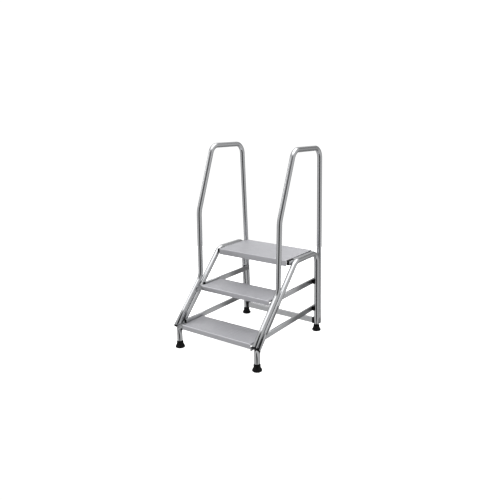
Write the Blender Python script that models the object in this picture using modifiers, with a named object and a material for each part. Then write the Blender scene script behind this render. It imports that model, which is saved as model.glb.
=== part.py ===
"""Mobile ladder stand: two bent-tube side frames, two bent-tube handrails, two treads and a platform.

Metres, +Z up, +X to the user's right when facing the steps, the first step on the -Y side.
Side-view positions are written as (y, z) with y = 0 on the front leg's axis, and moved by MID_Y when
an object is placed, so that the origin lies on the floor under the middle of the bounding box.
"""
import math

import bmesh
import bpy
from mathutils import Matrix, Vector

for old in list(bpy.data.objects):
    bpy.data.objects.remove(old, do_unlink=True)

# ---------------------------------------------------------------- driving dimensions (metres, radians)
SIDE_SPACING = 0.690            # left to right, between the axes of the two side frames
BASE_DEPTH = 0.831              # front foot to rear foot, centre to centre on the floor
FIRST_STEP = 0.188              # floor to the top of the first tread
STEP_RISE = 0.238
STEP_RUN = 0.223
RAIL_RISE = 0.7615              # platform top to the handrail's top axis
FRAME_D = 0.040                 # side frame and front leg tube, outside diameter
RAIL_D = 0.036                  # handrail tube, outside diameter
WALL = 0.0025                   # wall of every round tube
REAR_LEAN = math.radians(3.2)   # rear leg and rear post: foot behind top
UPRIGHT_LEAN = math.radians(1.0)
UPPER_LEAN = math.radians(20.4)
UPRIGHT_START = 0.4825          # height where the handrail leaves the stringer
KNEE_HEIGHT = 0.970             # height where the upright turns back
RAIL_STANDOFF = 0.0026          # clear distance between the end plugs of stringer and handrail
STRINGER_DROP = 0.0474          # stringer axis meets the front leg axis this far below the first tread
SIDE_RAIL_DROP = 0.012          # platform top to the side rail's axis
LOWER_BRACE_LIFT = 0.0035       # lower brace axis above the first tread
UPPER_BRACE_DROP = 0.0085       # upper brace axis below the middle tread
BRACE_H = 0.040                 # side braces: flat tube on the inner faces of the side frames
BRACE_T = 0.018
BRACE_R = 0.005
BRACE_WALL = 0.002
BRACE_PAST = 0.012              # brace end past the rear leg's axis
BRACE_PLUG_T = 0.003
CROSS_BRACE_Z = 0.082
RAIL_END_Z = 0.1803             # lower end of the handrail
POST_END_Z = 0.060              # lower end of the handrail's rear post
NOSE_BEND = 0.080               # bend radii, to the tube's axis
HEEL_BEND = 0.075
START_BEND = 0.110
KNEE_BEND = 0.160
TOP_BEND = 0.075
TREAD_DEPTH = 0.222
TREAD_H = 0.036
PLATFORM_H = 0.044
PLATFORM_FRONT = 0.022          # platform edge ahead of the stringer axis, at the tread's underside
TREAD_FRONT = 0.026
TREAD_INSET = 0.045             # tread's end to the side frame's axis
SKIN = 0.003                    # tread sheet
GROOVE_PITCH = 0.0215
GROOVE_W = 0.006
GROOVE_DEPTH = 0.0015
NOSE_R = 0.007
SADDLE_FRONT = 0.030            # plastic wedge between brace and rear leg, ahead of the leg's axis
SADDLE_BACK = 0.006
SADDLE_W = 0.016
SADDLE_H = 0.036
CROSS_H = 0.044
CROSS_T = 0.025
CROSS_SADDLE = 0.014
FOOT_H = 0.045
FOOT_R = 0.0345
FOOT_TOP_R = 0.0245
FOOT_FLOOR = 0.006
BRACKET_T = 0.004
BRACKET_H = 0.030
FLANGE_REACH = 0.052            # flange from the plate to under the tread
BRACKET_LEN = 0.047             # tread front to the rear edge of its bracket plates
BOLT_FRONT = 0.010              # tread front to the bracket bolts
BOLT_REAR = 0.038
PLATFORM_BOLTS = 0.105          # platform front to its first bracket bolt
PLATFORM_BOLT_STEP = 0.090
PAD_LEN = 0.078                 # black pad between the platform's front corner and its bracket
PAD_H = 0.032
BOLT_R = 0.0060
BOLT_H = 0.0028
NUT_R = 0.0085
NUT_H = 0.008
PLUG_T = 0.009
PLUG_DEPTH = 0.014
PLUG_EASE = 0.0015              # eased edge of a plug's head
GAP = 0.0003                    # clearance between neighbouring pieces
SIDES = 16                      # facets round a tube

# ---------------------------------------------------------------- sizes that follow
RF, RH = FRAME_D / 2, RAIL_D / 2
HALF = SIDE_SPACING / 2
TREAD_LENGTH = SIDE_SPACING - 2 * TREAD_INSET
TREAD_TOP = [FIRST_STEP + STEP_RISE * i for i in range(3)]
SIDE_RAIL_Z = TREAD_TOP[2] - SIDE_RAIL_DROP
TOP_RAIL_Z = TREAD_TOP[2] + RAIL_RISE
LOWER_Z = FIRST_STEP + LOWER_BRACE_LIFT
UPPER_Z = TREAD_TOP[1] - UPPER_BRACE_DROP
PITCH = math.atan2(STEP_RUN, STEP_RISE)             # stringer lean from the vertical
ALONG = Vector((math.sin(PITCH), math.cos(PITCH)))  # up the stringer, in (y, z)
ACROSS = Vector((-ALONG.y, ALONG.x))                # forward and up, square to it
RAIL_OFFSET = RF / math.cos(PITCH) + RH + RAIL_STANDOFF
POST_OFFSET = (RF + RH + 3 * GAP) / math.cos(REAR_LEAN)
FOOT_SOCKET_R = RF + GAP


def stringer_y(z):
    return (z - FIRST_STEP + STRINGER_DROP) * math.tan(PITCH)


def rail_y(z):
    """The handrail's lower run, parallel to the stringer and in front of it."""
    return stringer_y(z) - RAIL_OFFSET / math.cos(PITCH)


def leg_y(z):
    return BASE_DEPTH - z * math.tan(REAR_LEAN)


def post_y(z):
    return leg_y(z) + POST_OFFSET


def upright_y(z):
    return rail_y(UPRIGHT_START) + (z - UPRIGHT_START) * math.tan(UPRIGHT_LEAN)


def upper_y(z):
    return upright_y(KNEE_HEIGHT) + (z - KNEE_HEIGHT) * math.tan(UPPER_LEAN)


RAIL_END = Vector((rail_y(RAIL_END_Z), RAIL_END_Z))
STRINGER_END = RAIL_END - ACROSS * RAIL_OFFSET
TREAD_FRONT_Y = [stringer_y(TREAD_TOP[i] - TREAD_H) - TREAD_FRONT for i in range(2)]
PLATFORM_Y = stringer_y(TREAD_TOP[2] - PLATFORM_H) - PLATFORM_FRONT
PLATFORM_DEPTH = leg_y(TREAD_TOP[2]) - PLATFORM_Y
FRONT_REACH = RAIL_END.x - (PLUG_T - PLUG_EASE + GAP) * ALONG.x - RH * ALONG.y
REAR_REACH = post_y(POST_END_Z) + RH * math.cos(REAR_LEAN)
MID_Y = (FRONT_REACH + REAR_REACH) / 2

ALUMINIUM = ((0.72, 0.72, 0.73), 0.28, 1.0)
SATIN = ((0.66, 0.66, 0.68), 0.42, 1.0)
TREAD = ((0.60, 0.60, 0.62), 0.50, 0.9)
BLACK = ((0.015, 0.015, 0.016), 0.55, 0.0)
RUBBER = ((0.010, 0.010, 0.011), 0.80, 0.0)
STEEL = ((0.45, 0.45, 0.46), 0.30, 1.0)


# ---------------------------------------------------------------- scene helpers
def new_collection(name):
    collection = bpy.data.collections.get(name) or bpy.data.collections.new(name)
    if collection.name not in bpy.context.scene.collection.children:
        bpy.context.scene.collection.children.link(collection)
    return collection


PARTS = new_collection("mobile_ladder_stand")
CUTTERS = new_collection("cutters")


def material(name, look):
    colour, roughness, metallic = look
    mat = bpy.data.materials.new(name + "_finish")
    mat.use_nodes = True
    shader = mat.node_tree.nodes["Principled BSDF"]
    shader.inputs["Base Color"].default_value = (*colour, 1.0)
    shader.inputs["Roughness"].default_value = roughness
    shader.inputs["Metallic"].default_value = metallic
    return mat


def part(name, mesh, look, smooth=True):
    mesh.name = name
    mesh.materials.clear()
    mesh.materials.append(material(name, look))
    if smooth:
        mesh.shade_smooth()
        mesh.set_sharp_from_angle(angle=math.radians(35))
    obj = bpy.data.objects.new(name, mesh)
    PARTS.objects.link(obj)
    return obj


def cutter(name, mesh):
    mesh.name = name
    obj = bpy.data.objects.new(name, mesh)
    CUTTERS.objects.link(obj)
    obj.hide_render = True
    obj.display_type = "WIRE"
    return obj


def cut(obj, tool):
    mod = obj.modifiers.new("cut_" + tool.name, "BOOLEAN")
    mod.operation = "DIFFERENCE"
    mod.solver = "EXACT"
    mod.object = tool


def at(x, point):
    """World position of a side-view point (y, z) at the given x."""
    return Vector((x, point[0] - MID_Y, point[1]))


def frame_at(origin, z_axis, x_axis=(1, 0, 0)):
    """A placement whose local Z points along z_axis."""
    z = Vector(z_axis).normalized()
    x = (Vector(x_axis) - z * z.dot(Vector(x_axis))).normalized()
    y = z.cross(x)
    rot = Matrix((x, y, z)).transposed().to_4x4()
    return Matrix.Translation(origin) @ rot


# ---------------------------------------------------------------- shapes
def bent_path(corners, radii, step=math.radians(10)):
    """Side-view corners with their inner corners rounded to arcs."""
    points = [Vector(corners[0])]
    for before, corner, after, radius in zip(corners, corners[1:], corners[2:], radii):
        corner = Vector(corner)
        back = (Vector(before) - corner).normalized()
        ahead = (Vector(after) - corner).normalized()
        turn = math.pi - back.angle(ahead)
        reach = radius * math.tan(turn / 2)
        start, middle = corner + back * reach, (back + ahead).normalized()
        centre = corner + middle * math.hypot(radius, reach)
        spoke = start - centre
        sign = 1 if spoke.x * ahead.y - spoke.y * ahead.x > 0 else -1
        count = max(2, round(turn / step))
        for i in range(count + 1):
            angle = sign * turn * i / count
            c, s = math.cos(angle), math.sin(angle)
            points.append(centre + Vector((spoke.x * c - spoke.y * s, spoke.x * s + spoke.y * c)))
    points.append(Vector(corners[-1]))
    return points


def tube_mesh(points, radius, caps):
    """A round tube along 3-D points, as a mesh."""
    curve = bpy.data.curves.new("path", "CURVE")
    curve.dimensions = "3D"
    curve.bevel_depth = radius
    curve.bevel_resolution = (SIDES - 4) // 2
    curve.use_fill_caps = caps
    spline = curve.splines.new("POLY")
    spline.points.add(len(points) - 1)
    for knot, point in zip(spline.points, points):
        knot.co = (*point, 1.0)
    return curve_to_mesh(curve, caps)


def curve_to_mesh(curve, weld):
    holder = bpy.data.objects.new("holder", curve)
    bpy.context.scene.collection.objects.link(holder)
    graph = bpy.context.evaluated_depsgraph_get()
    mesh = bpy.data.meshes.new_from_object(holder.evaluated_get(graph))
    bpy.data.objects.remove(holder, do_unlink=True)
    bpy.data.curves.remove(curve)
    if weld:
        bm = bmesh.new()
        bm.from_mesh(mesh)
        bmesh.ops.remove_doubles(bm, verts=bm.verts, dist=0.00002)
        bm.to_mesh(mesh)
        bm.free()
    return mesh


def hollow_tube(name, points, radius, look):
    obj = part(name, tube_mesh(points, radius, False), look)
    mod = obj.modifiers.new("wall", "SOLIDIFY")
    mod.thickness = WALL
    mod.offset = -1.0
    mod.use_rim = True
    return obj


def turned_mesh(profile, steps=24):
    """A profile of (r, z) points at +X, turned about local Z by a Screw modifier."""
    mesh = bpy.data.meshes.new("profile")
    mesh.from_pydata([(r, 0.0, z) for r, z in profile], [(i, i + 1) for i in range(len(profile) - 1)], [])
    holder = bpy.data.objects.new("holder", mesh)
    bpy.context.scene.collection.objects.link(holder)
    mod = holder.modifiers.new("turn", "SCREW")
    mod.steps = mod.render_steps = steps
    mod.use_merge_vertices = True
    mod.merge_threshold = 0.00001
    mod.use_smooth_shade = True
    graph = bpy.context.evaluated_depsgraph_get()
    made = bpy.data.meshes.new_from_object(holder.evaluated_get(graph))
    bpy.data.objects.remove(holder, do_unlink=True)
    return made


def box_mesh(size, bevel=0.0, segments=1):
    mesh = bpy.data.meshes.new("box")
    bm = bmesh.new()
    bmesh.ops.create_cube(bm, size=1.0)
    bmesh.ops.scale(bm, vec=size, verts=bm.verts)
    if bevel:
        bmesh.ops.bevel(bm, geom=bm.edges, offset=bevel, segments=segments, affect="EDGES",
                        profile=0.5, material=-1)
    bm.to_mesh(mesh)
    bm.free()
    return mesh


def outline_mesh(points, length):
    """A closed (y, z) outline filled and extruded along X by length, centred on x = 0."""
    curve = bpy.data.curves.new("outline", "CURVE")
    curve.dimensions = "2D"
    curve.fill_mode = "BOTH"
    curve.extrude = length / 2
    spline = curve.splines.new("POLY")
    spline.points.add(len(points) - 1)
    for knot, point in zip(spline.points, points):
        knot.co = (point[0], point[1], 0.0, 1.0)
    spline.use_cyclic_u = True
    mesh = curve_to_mesh(curve, True)
    turn = Matrix(((0, 0, 1), (1, 0, 0), (0, 1, 0))).to_4x4()
    mesh.transform(turn)
    return mesh


def rounded_ring(width, height, radius, steps=3):
    """Corner points (x, z) of a rounded rectangle, counter-clockwise seen from -Y."""
    points = []
    for quarter, (sx, sz) in enumerate(((1, 1), (-1, 1), (-1, -1), (1, -1))):
        centre = Vector((sx * (width / 2 - radius), sz * (height / 2 - radius)))
        for i in range(steps + 1):
            angle = math.pi / 2 * (quarter + i / steps)
            points.append(centre + Vector((math.cos(angle), math.sin(angle))) * radius)
    return points


def bar_mesh(rings, closed):
    """A bar along Y through rings of (y, width, height, corner radius), with or without end faces."""
    mesh = bpy.data.meshes.new("bar")
    bm = bmesh.new()
    loops = [[bm.verts.new((p.x, y, p.y)) for p in rounded_ring(w, h, r)] for y, w, h, r in rings]
    for near, far in zip(loops, loops[1:]):
        for i in range(len(near)):
            j = (i + 1) % len(near)
            bm.faces.new((near[i], near[j], far[j], far[i]))
    if closed:
        bm.faces.new(loops[0])
        bm.faces.new(loops[-1][::-1])
    bmesh.ops.recalc_face_normals(bm, faces=bm.faces)
    bm.to_mesh(mesh)
    bm.free()
    return mesh


# ---------------------------------------------------------------- the stand
def side_frame_corners():
    lean = math.tan(PITCH)
    nose = (lean * (SIDE_RAIL_Z - FIRST_STEP + STRINGER_DROP), SIDE_RAIL_Z)
    toe = FOOT_FLOOR + GAP + RF * math.sin(REAR_LEAN)
    return [STRINGER_END, nose, (leg_y(SIDE_RAIL_Z), SIDE_RAIL_Z), (leg_y(toe), toe)]


def handrail_corners():
    start = (rail_y(UPRIGHT_START), UPRIGHT_START)
    knee = (upright_y(KNEE_HEIGHT), KNEE_HEIGHT)
    front, rear = (upper_y(TOP_RAIL_Z), TOP_RAIL_Z), (post_y(TOP_RAIL_Z), TOP_RAIL_Z)
    return [RAIL_END, start, knee, front, rear, (post_y(POST_END_Z), POST_END_Z)]


def tube_points(x, corners, radii):
    return [at(x, p) for p in bent_path(corners, radii)]


def make_frames(side, x):
    hollow_tube("side_frame_" + side, tube_points(x, side_frame_corners(), [NOSE_BEND, HEEL_BEND]), RF,
                ALUMINIUM)
    hollow_tube("handrail_" + side,
                tube_points(x, handrail_corners(), [START_BEND, KNEE_BEND, TOP_BEND, TOP_BEND]), RH, ALUMINIUM)
    leg = hollow_tube("front_leg_" + side, [at(x, (0.0, FOOT_FLOOR + GAP)), at(x, (0.0, FIRST_STEP))], RF,
                      SATIN)
    mitre = box_mesh((0.2, 0.2, 0.2))
    spot = at(x, STRINGER_END + ALONG * (0.1 - PLUG_T - 2 * GAP))
    mitre.transform(frame_at(spot, (0, ALONG.x, ALONG.y)))
    cut(leg, cutter("leg_mitre_" + side, mitre))
    rear = [at(x, (leg_y(z), z)) for z in (0.02, SIDE_RAIL_Z - HEEL_BEND)]
    wide = (RF + 2 * GAP) / math.cos(math.pi / SIDES)
    return cutter("rear_leg_cutter_" + side, tube_mesh(rear, wide, True))


def make_brace(name, sign, side, start, z):
    """A flat tube from behind the tread's bracket to past the rear leg, plugged at both ends."""
    x = sign * (HALF - RF - GAP - BRACE_T / 2)
    first, last = start + BRACE_PLUG_T + GAP, leg_y(z) + BRACE_PAST
    obj = part(name + "_" + side, bar_mesh(
        [(first, BRACE_T, BRACE_H, BRACE_R), (last, BRACE_T, BRACE_H, BRACE_R)], False), SATIN)
    obj.data.transform(Matrix.Translation(at(x, (0.0, z))))
    mod = obj.modifiers.new("wall", "SOLIDIFY")
    mod.thickness = BRACE_WALL
    mod.offset = -1.0
    mod.use_even_offset = True
    mod.use_rim = True
    slack = 2 * (BRACE_WALL + GAP)
    inner = (BRACE_T - slack, BRACE_H - slack, BRACE_R - BRACE_WALL)
    outer = (BRACE_T, BRACE_H, BRACE_R)
    eased = (BRACE_T - 0.0015, BRACE_H - 0.0015, BRACE_R)
    for end, y, out in (("front", first - GAP, -1), ("rear", last + GAP, 1)):
        rings = [(y + out * BRACE_PLUG_T, *eased), (y + out * (BRACE_PLUG_T - 0.001), *outer), (y, *outer),
                 (y, *inner), (y - out * PLUG_DEPTH, *inner)]
        mesh = bar_mesh(rings if out < 0 else rings[::-1], True)
        mesh.transform(Matrix.Translation(at(x, (0.0, z))))
        part(name + "_plug_" + side + "_" + end, mesh, BLACK)


def make_saddle(name, sign, x, z, rear_tool):
    """A plastic wedge in the corner between the flat brace and the round rear leg."""
    mesh = box_mesh((SADDLE_W, SADDLE_FRONT - SADDLE_BACK, SADDLE_H), 0.002)
    middle = leg_y(z) - (SADDLE_FRONT + SADDLE_BACK) / 2
    mesh.transform(Matrix.Translation(at(sign * (HALF - RF + SADDLE_W / 2), (middle, z))))
    cut(part(name, mesh, BLACK), rear_tool)


def make_cross_brace(rear_tools):
    length = SIDE_SPACING - FRAME_D - 2 * CROSS_SADDLE
    mesh = box_mesh((length, CROSS_T, CROSS_H), 0.003, 2)
    mesh.transform(Matrix.Translation(at(0, (leg_y(CROSS_BRACE_Z), CROSS_BRACE_Z))))
    part("rear_cross_brace", mesh, SATIN)
    for side, sign in (("left", -1), ("right", 1)):
        inner = length / 2 + GAP
        outer = HALF - 0.3 * RF
        mesh = box_mesh((outer - inner, CROSS_T + 0.005, CROSS_H + 0.005), 0.003)
        mesh.transform(Matrix.Translation(at(sign * (inner + outer) / 2, (leg_y(CROSS_BRACE_Z), CROSS_BRACE_Z))))
        cut(part("cross_saddle_" + side, mesh, BLACK), rear_tools[side])


def tread_outline(depth, height):
    """Side view of a tread: grooved top, rounded nose, front and rear skirts, open below."""
    points = [(0.0, -height)]
    points += [(NOSE_R * (1 - math.cos(a)), NOSE_R * (math.sin(a) - 1))
               for a in (math.pi / 2 * i / 4 for i in range(5))]
    count = int((depth - 2 * NOSE_R - GROOVE_W) / GROOVE_PITCH)
    first = (depth - (count - 1) * GROOVE_PITCH) / 2
    for i in range(count):
        y = first + i * GROOVE_PITCH
        points += [(y - GROOVE_W / 2, 0.0), (y - GROOVE_W / 3, -GROOVE_DEPTH),
                   (y + GROOVE_W / 3, -GROOVE_DEPTH), (y + GROOVE_W / 2, 0.0)]
    inner = SKIN + GROOVE_DEPTH
    points += [(depth - 0.002, 0.0), (depth, -0.002), (depth, -height), (depth - SKIN, -height),
               (depth - SKIN, -inner), (SKIN + 0.001, -inner), (SKIN, -NOSE_R), (SKIN, -height)]
    return points


def make_tread(name, front, depth, top, height):
    mesh = outline_mesh(tread_outline(depth, height), TREAD_LENGTH)
    mesh.transform(Matrix.Translation(at(0, (front, top))))
    part(name, mesh, TREAD)


def make_bracket(name, sign, first, last, top, inner_first, inner_last):
    """A plate on the tubes' inner faces, with a flange that runs on under the end of the tread's sheet."""
    plate_x = HALF - RF - GAP - BRACKET_T / 2
    plate = box_mesh((BRACKET_T, last - first, BRACKET_H), 0.001)
    z_top = top - SKIN - GROOVE_DEPTH - GAP
    plate.transform(Matrix.Translation(at(sign * plate_x, ((first + last) / 2, z_top - BRACKET_H / 2))))
    obj = part(name, plate, SATIN, smooth=False)
    outer = HALF - RF - GAP - 0.0014
    inner = outer - FLANGE_REACH
    shapes = [("flange", inner, outer, inner_first, last), ("tongue", inner, TREAD_LENGTH / 2, last - 0.002,
                                                            inner_last)]
    for label, x0, x1, y0, y1 in shapes if inner_last > last else shapes[:1]:
        mesh = box_mesh((x1 - x0, y1 - y0, BRACKET_T - (0.0002 if label == "tongue" else 0)))
        middle = at(sign * (x0 + x1) / 2, ((y0 + y1) / 2, z_top - BRACKET_T / 2 - 0.001))
        mesh.transform(Matrix.Translation(middle))
        mod = obj.modifiers.new(label, "BOOLEAN")
        mod.operation = "UNION"
        mod.solver = "EXACT"
        mod.object = cutter(name + "_" + label, mesh)
    return z_top - 0.001


def make_bolts(name, sign, ys, z):
    """Button heads on the flange, in the gap between the tread's end and the plate."""
    x = (TREAD_LENGTH / 2 + HALF - RF - GAP - BRACKET_T) / 2
    profile = [(0.0, BOLT_H), (0.55 * BOLT_R, BOLT_H * 0.85), (0.9 * BOLT_R, BOLT_H * 0.45),
               (BOLT_R, 0.0), (0.0, 0.0)]
    for end, y in zip(("front", "rear"), ys):
        mesh = turned_mesh(profile, 12)
        mesh.transform(Matrix.Translation(at(sign * x, (y, z + GAP))))
        part(name + "_" + end, mesh, STEEL)


def make_pad(name, sign, front, top):
    """A plastic block that fills the gap between the platform's front corner and its bracket."""
    inner, outer = TREAD_LENGTH / 2 + GAP, HALF - RF - 2 * GAP - BRACKET_T
    mesh = box_mesh((outer - inner, PAD_LEN, PAD_H), 0.002)
    middle = at(sign * (inner + outer) / 2, (front + PAD_LEN / 2, top - PAD_H / 2))
    mesh.transform(Matrix.Translation(middle))
    part(name, mesh, BLACK)


def make_end_plug(name, x, end, outward, radius, stretch=1.0):
    """A push-in plug: a flat head over the tube's end, stretched fore and aft, and a spigot inside it."""
    inner = radius - WALL - GAP
    profile = [(0.0, PLUG_T), (radius - PLUG_EASE, PLUG_T), (radius, PLUG_T - PLUG_EASE), (radius, 0.0),
               (inner, 0.0), (inner, -PLUG_DEPTH), (0.0, -PLUG_DEPTH)]
    mesh = turned_mesh(profile, SIDES)
    for vert in mesh.vertices:
        if math.hypot(vert.co.x, vert.co.y) > inner + GAP / 2:
            vert.co.y *= stretch
    spot = at(x, Vector(end) + Vector(outward) * GAP)
    mesh.transform(frame_at(spot, (0, outward[0], outward[1])))
    part(name, mesh, BLACK)


def make_foot(name, x, y, axis):
    profile = [(0.0, FOOT_FLOOR), (FOOT_SOCKET_R, FOOT_FLOOR), (FOOT_SOCKET_R, FOOT_H),
               (FOOT_TOP_R, FOOT_H), (FOOT_TOP_R + 0.001, 0.62 * FOOT_H), (FOOT_R - 0.002, 0.24 * FOOT_H),
               (FOOT_R, 0.15 * FOOT_H), (FOOT_R, 0.003), (FOOT_R - 0.002, 0.0), (0.0, 0.0)]
    mesh = turned_mesh(profile, 24)
    for vert in mesh.vertices:                      # the socket follows the leg's lean, the base stays flat
        vert.co.y += vert.co.z * axis
    mesh.transform(Matrix.Translation(at(x, (y, 0.0))))
    part(name, mesh, RUBBER)


def make_post_nut(name, x):
    """The domed nut behind the post that holds post and leg together."""
    profile = [(0.0, NUT_H), (0.5 * NUT_R, 0.9 * NUT_H), (0.85 * NUT_R, 0.6 * NUT_H), (NUT_R, 0.45 * NUT_H),
               (NUT_R, 0.0), (0.0, 0.0)]
    mesh = turned_mesh(profile, 12)
    spot = at(x, (post_y(UPPER_Z) + (RH + GAP) / math.cos(REAR_LEAN), UPPER_Z))
    mesh.transform(frame_at(spot, (0, math.cos(REAR_LEAN), math.sin(REAR_LEAN))))
    part(name, mesh, STEEL)


def make_step(index, names, sign, side):
    top = TREAD_TOP[index]
    if index < 2:
        front, depth = TREAD_FRONT_Y[index], TREAD_DEPTH
        first, last = rail_y(top - BRACKET_H / 2) - 0.4 * RH, front + BRACKET_LEN
    else:
        front, depth = PLATFORM_Y, PLATFORM_DEPTH
        first, last = front + 2 * SKIN, front + depth - 2 * SKIN
    name = names[index] + "_bracket_" + side
    flange = front + (2 * SKIN if index < 2 else 2 * SKIN + PAD_LEN)
    z = make_bracket(name, sign, first, last, top, flange, front + depth - 2 * SKIN)
    bolts = (BOLT_FRONT, BOLT_REAR) if index < 2 else (PLATFORM_BOLTS, PLATFORM_BOLTS + PLATFORM_BOLT_STEP)
    make_bolts(names[index] + "_bolt_" + side, sign, [front + y for y in bolts], z)
    if index == 2:
        make_pad("platform_pad_" + side, sign, front + SKIN, top - SKIN)


def build():
    names = ("bottom_tread", "middle_tread", "top_platform")
    rear_tools = {}
    for side, sign in (("left", -1), ("right", 1)):
        x = sign * HALF
        rear_tools[side] = make_frames(side, x)
        for label, index, z in (("lower", 0, LOWER_Z), ("upper", 1, UPPER_Z)):
            make_brace(label + "_brace", sign, side, TREAD_FRONT_Y[index] + BRACKET_LEN + 0.002, z)
            make_saddle(label + "_saddle_" + side, sign, x, z, rear_tools[side])
        make_end_plug("handrail_plug_" + side, x, RAIL_END, -ALONG, RH)
        make_end_plug("stringer_plug_" + side, x, STRINGER_END, -ALONG, RF, 1 / math.cos(PITCH))
        down = Vector((math.sin(REAR_LEAN), -math.cos(REAR_LEAN)))
        make_end_plug("post_plug_" + side, x, (post_y(POST_END_Z), POST_END_Z), down, RH)
        make_post_nut("post_nut_" + side, x)
        make_foot("front_foot_" + side, x, 0.0, 0.0)
        make_foot("rear_foot_" + side, x, BASE_DEPTH, -math.tan(REAR_LEAN))
        for index in range(3):
            make_step(index, names, sign, side)
    make_cross_brace(rear_tools)
    for index in range(2):
        make_tread(names[index], TREAD_FRONT_Y[index], TREAD_DEPTH, TREAD_TOP[index], TREAD_H)
    make_tread(names[2], PLATFORM_Y, PLATFORM_DEPTH, TREAD_TOP[2], PLATFORM_H)


build()
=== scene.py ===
"""Mobile ladder stand in drawn and extruded aluminium: two bent-tube side frames, two handrails, two treads
and a platform. Metres, +Z up, the first step on the -Y side. Side-view points are (y, z), with y = 0 on the
front leg."""
import math

import bmesh
import bpy
from bpy.props import FloatProperty, FloatVectorProperty, IntProperty, PointerProperty
from mathutils import Matrix, Vector


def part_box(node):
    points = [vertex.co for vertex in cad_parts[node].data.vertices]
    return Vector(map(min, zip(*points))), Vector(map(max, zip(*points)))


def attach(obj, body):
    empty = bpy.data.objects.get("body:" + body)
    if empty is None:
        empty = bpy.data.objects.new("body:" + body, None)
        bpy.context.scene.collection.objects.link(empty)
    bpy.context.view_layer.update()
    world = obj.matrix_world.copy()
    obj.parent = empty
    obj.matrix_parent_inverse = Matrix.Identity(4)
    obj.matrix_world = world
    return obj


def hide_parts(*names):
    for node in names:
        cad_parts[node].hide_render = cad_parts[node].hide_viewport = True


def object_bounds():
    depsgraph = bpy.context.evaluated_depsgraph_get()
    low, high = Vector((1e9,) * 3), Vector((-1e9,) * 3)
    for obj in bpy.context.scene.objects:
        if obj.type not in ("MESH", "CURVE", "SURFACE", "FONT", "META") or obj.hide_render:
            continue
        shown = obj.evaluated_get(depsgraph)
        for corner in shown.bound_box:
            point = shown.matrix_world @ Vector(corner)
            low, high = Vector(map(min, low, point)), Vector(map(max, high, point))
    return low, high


bl_info = {
    "name": "Mobile Ladder Stand",
    "version": (1, 0, 0),
    "blender": (4, 5, 0),
    "location": "View3D > Sidebar > Ladder Stand",
    "description": "Builds an aluminium ladder stand with handrails, treads and rubber feet",
    "category": "Add Mesh",
}

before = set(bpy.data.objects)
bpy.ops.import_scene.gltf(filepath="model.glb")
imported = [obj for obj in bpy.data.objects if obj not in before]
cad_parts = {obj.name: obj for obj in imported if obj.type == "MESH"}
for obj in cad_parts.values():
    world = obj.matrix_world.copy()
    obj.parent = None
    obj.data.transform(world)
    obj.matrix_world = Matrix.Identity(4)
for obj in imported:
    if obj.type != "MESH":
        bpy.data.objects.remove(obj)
CAD_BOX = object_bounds()
SIDES = (("left", -1), ("right", 1))
STEPS = ("bottom_tread", "middle_tread", "top_platform")
GAP = 0.0003                      # clearance between neighbouring pieces
SHARP_ANGLE = math.radians(32)    # edges sharper than this are shaded sharp
PLATE_H = 0.030                   # height of a bracket's plate
PLATE_LENGTH = 0.047              # a tread bracket's plate ends this far behind the tread's front
FLANGE_INSET = 0.0014             # a bracket's flange starts this far inside its plate
BRACE_BOLT_R, BRACE_BOLT_H = 0.0065, 0.003
BRACE_BOLT_INSET = 0.022          # front brace bolt, from the brace's front end
BRACE_PLUG_HEAD = 0.003
STRIP_START = 0.115               # start of the plain strip, from the stringer's lower end
STRIP_FACING = math.radians(21)   # its place round the tube, from straight outwards towards the front

# the stage
FACING = Vector((0.5158, -0.8567, 0.0))     # from the stand towards the camera, level
FLOOR_RADIUS, FLOOR_REACH = 3.0, 1.15       # the floor is cut this far towards the camera
CAMERA_SPOT = (2.15121, -2.57603, 1.65260)  # from the front legs' line
CAMERA_TURNS = (("Z", 31.055), ("X", 72.579), ("Z", 0.952))
CAMERA_LENS, CAMERA_SHIFT = 37.307, (-0.0823, 0.0532)
# how bright the tent is from straight behind the stand (0) round to the camera's opening (1)
PANELS = ((0.0, 0.88), (0.05, 0.75), (0.12, 0.30), (0.20, 0.42), (0.34, 0.92), (0.88, 1.0), (0.95, 0.50),
          (0.982, 0.04), (1.0, 0.03))
# how bright it is from the floor (0) through the horizon (0.5) to straight overhead (1)
ROOF = ((0.0, 0.62), (0.44, 0.66), (0.54, 0.74), (0.66, 0.66), (0.84, 0.70), (0.90, 1.0), (1.0, 1.0))
WHITE = (1.0, 1.0, 1.0, 1.0)
# name, place, width and power
SOFTBOXES = (("overhead_softbox", (0.2, 0.1, 3.6), 2.6, 8.0), ("left_softbox", (-2.8, -1.4, 2.4), 1.2, 6.0))


def linear(hex_colour):
    """An sRGB hex colour as linear red, green and blue."""
    values = [int(hex_colour[i:i + 2], 16) / 255 for i in (0, 2, 4)]
    return tuple(v / 12.92 if v <= 0.04045 else ((v + 0.055) / 1.055) ** 2.4 for v in values)


def length(name, value, description):
    return FloatProperty(name=name, default=value, min=0.0, unit="LENGTH", subtype="DISTANCE", precision=4,
                         description=description)


def slope(name, degrees, description):
    return FloatProperty(name=name, default=math.radians(degrees), unit="ROTATION", subtype="ANGLE",
                         description=description)


def colour(name, hex_colour, description):
    return FloatVectorProperty(name=name, default=linear(hex_colour), min=0.0, max=1.0, size=3,
                               subtype="COLOR", description=description)


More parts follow.
